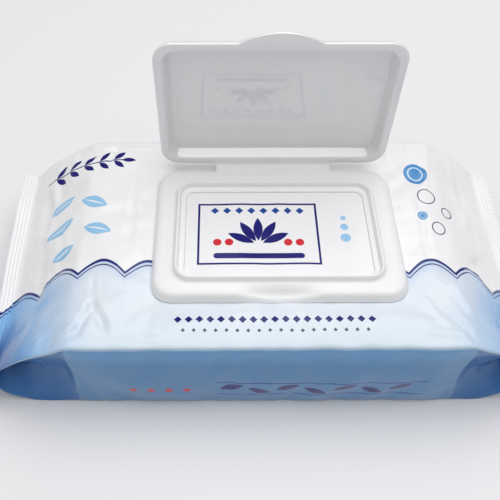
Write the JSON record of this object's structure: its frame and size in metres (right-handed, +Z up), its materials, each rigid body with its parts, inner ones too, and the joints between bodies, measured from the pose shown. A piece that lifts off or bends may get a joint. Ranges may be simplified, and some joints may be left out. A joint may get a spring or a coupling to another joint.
{
  "type": "wet wipes pack",
  "caption": "Sealed film pack of wet wipes with crimped, gusseted ends and a hinged flip-top plastic dispenser over a peel label.",
  "frame": {"origin": "centre of the pack's flat underside", "axes": "+X along the pack from end seal to end seal, +Y to the hinged back of the lid, +Z up"},
  "size_m": [0.224, 0.106, 0.1183],
  "materials": {
    "film": "glossy printed laminate film, white over blue",
    "frame_plastic": "satin white polypropylene",
    "lid_plastic": "satin white polypropylene, glossy tray floor",
    "label": "glossy white label film with navy and red fields"
  },
  "bodies": {
    "pack": {"film_pack": "film", "lid_base": "frame_plastic", "peel_label": "label"},
    "lid": {"lid": "lid_plastic"}
  },
  "joints": [
    {"name": "lid_hinge", "type": "hinge", "parent": "pack", "child": "lid", "pos_m": [0.0045, 0.0335, 0.0495], "axis": [1, 0, 0], "range_deg": [-60, 90]}
  ]
}
